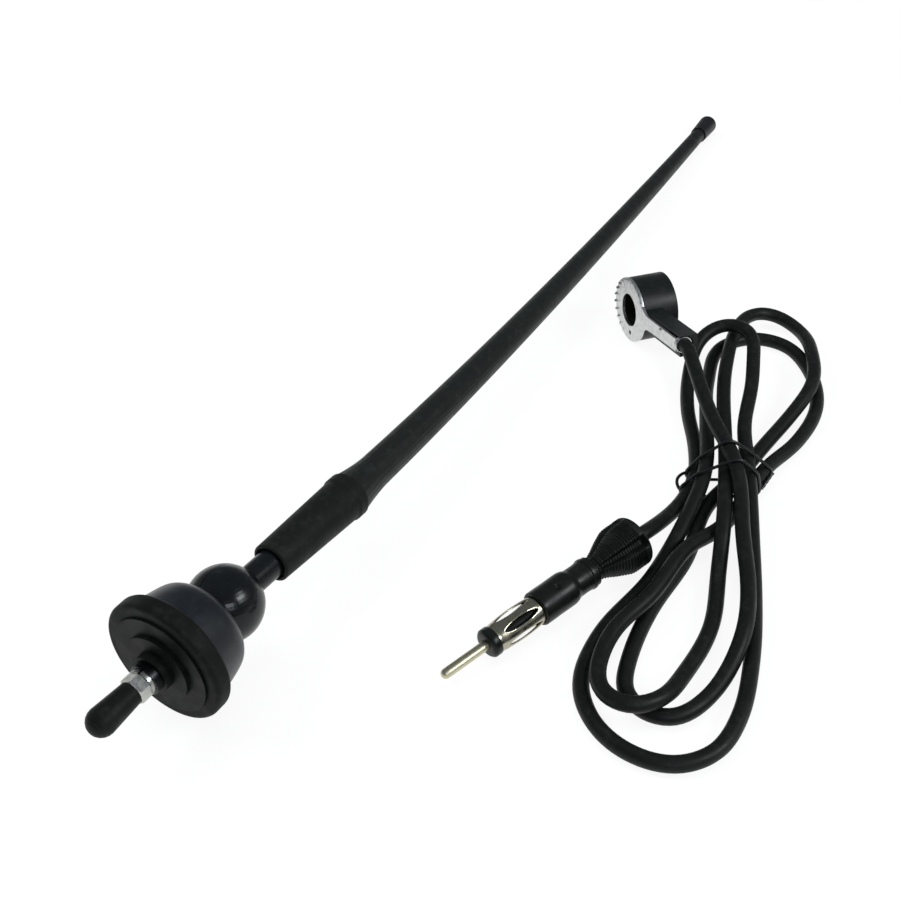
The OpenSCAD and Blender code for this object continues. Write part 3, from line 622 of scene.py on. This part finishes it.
def drilled(obj, place, at, radius):
    """Cuts a small round hole through a plate."""
    rows = [(-DRILL_REACH, 0.0), (-DRILL_REACH, radius), (DRILL_REACH, radius), (DRILL_REACH, 0.0)]
    offset = Place(place.origin + place.side * at[0] + place.third * at[1], place.axis, place.side)
    drill = add_object("drill", welded_mesh("drill", *turned(offset, rows, 24)))
    cut = obj.modifiers.new("hole", "BOOLEAN")
    cut.operation = "DIFFERENCE"
    cut.solver = "EXACT"
    cut.object = drill
    done = bpy.data.meshes.new_from_object(obj.evaluated_get(bpy.context.evaluated_depsgraph_get()))
    obj.modifiers.remove(cut)
    obj.data = done
    bpy.data.objects.remove(drill)


drilled(plate, disc_place, HOLE_AT, HOLE_R)

# Materials: sizes of their noise are in millimetres

SMEAR = 9
DUST = 3.5
SWELL = 14
POLISH = 2.5
TARNISH = 1.6


class Look:
    """A procedural material in the making, on coordinates in millimetres."""

    def __init__(self, name, colour, roughness, metallic=0.0, specular=0.5):
        self.mat = bpy.data.materials.new(name)
        self.mat.use_nodes = True
        self.tree = self.mat.node_tree
        self.shader = self.tree.nodes["Principled BSDF"]
        self.shader.inputs["Base Color"].default_value = (*colour, 1.0)
        self.shader.inputs["Roughness"].default_value = roughness
        self.shader.inputs["Metallic"].default_value = metallic
        self.shader.inputs["Specular IOR Level"].default_value = specular
        place = self.tree.nodes.new("ShaderNodeTexCoord")
        scale = self.tree.nodes.new("ShaderNodeVectorMath")
        scale.operation = "SCALE"
        scale.inputs["Scale"].default_value = 1 / MM
        self.tree.links.new(place.outputs["Object"], scale.inputs[0])
        self.place = scale.outputs[0]
        self.bump = None

    def noise(self, size, detail=3.0, rough=0.6, distortion=0.0):
        """Noise whose lumps are about that many millimetres across."""
        mapping = self.tree.nodes.new("ShaderNodeMapping")
        mapping.inputs["Scale"].default_value = [1 / size] * 3
        node = self.tree.nodes.new("ShaderNodeTexNoise")
        node.inputs["Scale"].default_value = 1.0
        node.inputs["Detail"].default_value = detail
        node.inputs["Roughness"].default_value = rough
        node.inputs["Distortion"].default_value = distortion
        self.tree.links.new(self.place, mapping.inputs["Vector"])
        self.tree.links.new(mapping.outputs["Vector"], node.inputs["Vector"])
        return node.outputs["Fac"]

    def spread(self, value, at):
        """Node that spreads the value between the two marks over its output."""
        node = self.tree.nodes.new("ShaderNodeMapRange")
        node.inputs["From Min"].default_value = at[0]
        node.inputs["From Max"].default_value = at[1]
        self.tree.links.new(value, node.inputs["Value"])
        return node

    def rough(self, value, low, high):
        """Roughness that follows the value from low to high."""
        node = self.spread(value, (0.35, 0.65))
        node.inputs["To Min"].default_value = low
        node.inputs["To Max"].default_value = high
        self.tree.links.new(node.outputs["Result"], self.shader.inputs["Roughness"])

    def tint(self, value, low, high, at):
        """Colour that follows the value from low to high."""
        mix = self.tree.nodes.new("ShaderNodeMix")
        mix.data_type = "RGBA"
        mix.inputs[6].default_value = (*low, 1)
        mix.inputs[7].default_value = (*high, 1)
        self.tree.links.new(self.spread(value, at).outputs["Result"], mix.inputs[0])
        self.tree.links.new(mix.outputs[2], self.shader.inputs["Base Color"])

    def relief(self, value, height):
        """Adds relief of that height in millimetres."""
        node = self.tree.nodes.new("ShaderNodeBump")
        node.inputs["Strength"].default_value = 1.0
        node.inputs["Distance"].default_value = height * MM
        self.tree.links.new(value, node.inputs["Height"])
        if self.bump:
            self.tree.links.new(self.bump, node.inputs["Normal"])
        self.bump = node.outputs["Normal"]
        self.tree.links.new(self.bump, self.shader.inputs["Normal"])


def moulded(name, colour, roughness, grain, height, specular):
    """Moulded plastic or rubber: fine grain, faint smears and a little dust."""
    low, high = roughness
    look = Look(name, colour, low, specular=specular)
    look.rough(look.noise(SMEAR, detail=4, distortion=0.6), low, high)
    dusty = tuple(c * 1.9 + 0.004 for c in colour)
    look.tint(look.noise(DUST, detail=6, rough=0.7), colour, dusty, (0.5, 0.8))
    look.relief(look.noise(grain, detail=2), height)
    look.relief(look.noise(SWELL, detail=1), height * 3)
    return look


def metal(name, colour, roughness, grain=0.4, height=0.01, tarnish=None):
    """Bare or plated metal: uneven polish, fine grain and, where a colour for it is given, tarnish."""
    low, high = roughness
    look = Look(name, colour, low, metallic=1.0)
    look.rough(look.noise(POLISH, detail=5), low, high)
    if tarnish:
        look.tint(look.noise(TARNISH, detail=5, rough=0.7), colour, tarnish, (0.45, 0.8))
    look.relief(look.noise(grain, detail=3), height)
    return look


SOFT_BLACK = (0.004, 0.0048, 0.0043)

# name, colour, lowest and highest roughness, size and height of the grain, specular level
gloss_black = moulded("gloss_black", (0.0034, 0.0043, 0.005), (0.18, 0.28), 0.5, 0.003, 0.26)
bell_black = moulded("bell_black", (0.0044, 0.0058, 0.0082), (0.32, 0.44), 0.5, 0.004, 0.42)
gasket_rubber = moulded("gasket_rubber", SOFT_BLACK, (0.5, 0.65), 0.35, 0.02, 0.11)
cap_rubber = moulded("cap_rubber", SOFT_BLACK, (0.45, 0.6), 0.45, 0.05, 0.14)
mast_rubber = moulded("mast_rubber", (0.0066, 0.0079, 0.0071), (0.42, 0.55), 0.3, 0.015, 0.22)
grip_rubber = moulded("grip_rubber", (0.0052, 0.0064, 0.0056), (0.5, 0.64), 0.4, 0.03, 0.13)
tip_rubber = moulded("tip_rubber", (0.006, 0.006, 0.007), (0.36, 0.5), 0.3, 0.02, 0.25)
satin_black = moulded("satin_black", (0.0038, 0.0045, 0.004), (0.42, 0.55), 0.3, 0.01, 0.1)
case_black = moulded("case_black", (0.004, 0.0052, 0.0048), (0.34, 0.46), 0.3, 0.01, 0.3)
plug_black = moulded("plug_black", SOFT_BLACK, (0.26, 0.42), 0.3, 0.01, 0.2)
grommet_rubber = moulded("grommet_rubber", SOFT_BLACK, (0.4, 0.52), 0.3, 0.015, 0.2)
jacket = moulded("jacket", (0.004, 0.0049, 0.0043), (0.42, 0.55), 0.5, 0.02, 0.19)
tie_black = moulded("tie_black", (0.004, 0.004, 0.005), (0.22, 0.34), 0.5, 0.01, 0.4)

zinc = metal("zinc", (0.52, 0.53, 0.52), (0.22, 0.38), tarnish=(0.38, 0.4, 0.3))
dark_metal = metal("dark_metal", (0.025, 0.026, 0.028), (0.25, 0.4))
nickel = metal("nickel", (0.44, 0.42, 0.33), (0.2, 0.32), grain=0.5, height=0.005,
               tarnish=(0.26, 0.24, 0.17))
pin_nickel = metal("pin_nickel", (0.6, 0.57, 0.42), (0.38, 0.46), grain=3, height=0.001,
                   tarnish=(0.5, 0.47, 0.32))
brass = metal("brass", (0.72, 0.55, 0.25), (0.25, 0.4))
casting = metal("casting", (0.66, 0.67, 0.66), (0.3, 0.46), grain=0.55, height=0.06,
                tarnish=(0.45, 0.46, 0.46))
casting.relief(casting.noise(1.8, detail=2), 0.05)

NODE_LOOKS = {
    "bell_housing": bell_black, "base_ball_half": gloss_black, "mast_ball_half": gloss_black,
    "base_gasket": gasket_rubber, "base_plate": satin_black, "insulator_hub": satin_black,
    "hub_collar": dark_metal, "lock_washer": zinc, "mounting_nut": zinc, "mounting_stud": zinc,
    "stud_cap": cap_rubber, "pivot_screw": dark_metal, "pivot_spring_washer": dark_metal,
    "grip_sleeve": grip_rubber, "mast_ferrule": brass, "mast": mast_rubber, "tip_cap": tip_rubber,
    "clamp_housing": case_black, "ground_plate": casting, "contact_bush": satin_black,
    "centre_contact": brass, "cable": jacket, "cable_tie": tie_black, "cable_grommet": grommet_rubber,
    "plug_sleeve": plug_black, "plug_rear_ring": plug_black, "plug_shell": nickel,
    "plug_collar": plug_black, "plug_insulator": satin_black, "plug_pin": nickel,
}
PIECE_LOOKS = [
    (lead, jacket), (tie, tie_black), (bell, bell_black), (grommet, grommet_rubber), (pin, pin_nickel),
    (collar, plug_black), (shell, nickel), (sleeve, plug_black), (plate, casting),
]
for obj, look in [(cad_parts[name], look) for name, look in NODE_LOOKS.items()] + PIECE_LOOKS:
    obj.data.materials.clear()
    obj.data.materials.append(look.mat)

# Floor, world and lights

FLOOR_HALF = 3.0
FLOOR_DROP = 0.0001
FLOOR_WHITE = 0.9
SKY_STRENGTH = 0.2
LIGHT_AIM = Vector((0, -0.05, 0))


def white_for_eyes(mat, part):
    """Mixes that part of plain white into what the camera and reflections see; the rest keeps the shadow."""
    tree = mat.node_tree
    shader = tree.nodes["Principled BSDF"]
    out = tree.nodes["Material Output"]
    path = tree.nodes.new("ShaderNodeLightPath")
    glow = tree.nodes.new("ShaderNodeEmission")
    mix = tree.nodes.new("ShaderNodeMixShader")
    seen = path.outputs["Is Camera Ray"]
    for ray in ("Is Glossy Ray", "Is Transmission Ray"):
        either = tree.nodes.new("ShaderNodeMath")
        either.operation = "MAXIMUM"
        tree.links.new(seen, either.inputs[0])
        tree.links.new(path.outputs[ray], either.inputs[1])
        seen = either.outputs[0]
    scaled = tree.nodes.new("ShaderNodeMath")
    scaled.operation = "MULTIPLY"
    scaled.inputs[1].default_value = part
    tree.links.new(seen, scaled.inputs[0])
    tree.links.new(scaled.outputs[0], mix.inputs[0])
    tree.links.new(shader.outputs[0], mix.inputs[1])
    tree.links.new(glow.outputs[0], mix.inputs[2])
    tree.links.new(mix.outputs[0], out.inputs["Surface"])


def make_floor():
    mesh = bpy.data.meshes.new("floor")
    corners = [(-FLOOR_HALF, -FLOOR_HALF, 0), (FLOOR_HALF, -FLOOR_HALF, 0),
               (FLOOR_HALF, FLOOR_HALF, 0), (-FLOOR_HALF, FLOOR_HALF, 0)]
    mesh.from_pydata(corners, [], [(0, 1, 2, 3)])
    floor = add_object("floor", mesh)
    floor.location.z = -FLOOR_DROP
    look = Look("floor", (0.9, 0.9, 0.9), 0.8)
    look.rough(look.noise(20), 0.75, 0.85)
    white_for_eyes(look.mat, FLOOR_WHITE)
    mesh.materials.append(look.mat)


def make_sky():
    """Faint bluish light from all round, behind which the camera sees plain white."""
    world = bpy.data.worlds.new("world")
    scene.world = world
    world.use_nodes = True
    tree = world.node_tree
    sky = tree.nodes["Background"]
    sky.inputs["Color"].default_value = (0.86, 0.93, 1.0, 1)
    sky.inputs["Strength"].default_value = SKY_STRENGTH
    plain = tree.nodes.new("ShaderNodeBackground")
    plain.inputs["Color"].default_value = (1, 1, 1, 1)
    path = tree.nodes.new("ShaderNodeLightPath")
    mix = tree.nodes.new("ShaderNodeMixShader")
    tree.links.new(path.outputs["Is Camera Ray"], mix.inputs[0])
    tree.links.new(sky.outputs[0], mix.inputs[1])
    tree.links.new(plain.outputs[0], mix.inputs[2])
    tree.links.new(mix.outputs[0], tree.nodes["World Output"].inputs["Surface"])


def area_light(name, at, size, power, colour, glossy=True):
    """Rectangular light in watts that looks at the middle of the object."""
    data = bpy.data.lights.new(name, "AREA")
    data.shape = "RECTANGLE"
    data.size, data.size_y = size
    data.energy = power
    data.color = colour
    obj = add_object(name, data)
    obj.location = at
    obj.rotation_euler = (LIGHT_AIM - Vector(at)).to_track_quat("-Z", "Y").to_euler()
    obj.visible_glossy = glossy


make_floor()
make_sky()
area_light("key", (-0.3, 0.9, 0.9), (0.9, 0.5), 14, (0.93, 0.97, 1.0), glossy=False)
area_light("fill", (0.2, -1.0, 0.8), (0.5, 0.3), 8, (0.95, 0.98, 1.0))
area_light("front", (-0.62, -0.78, 0.62), (0.5, 0.2), 2.2, (0.86, 0.92, 1.0))
area_light("top", (0.1, 0.0, 1.2), (1.0, 0.7), 8, (1, 1, 1), glossy=False)
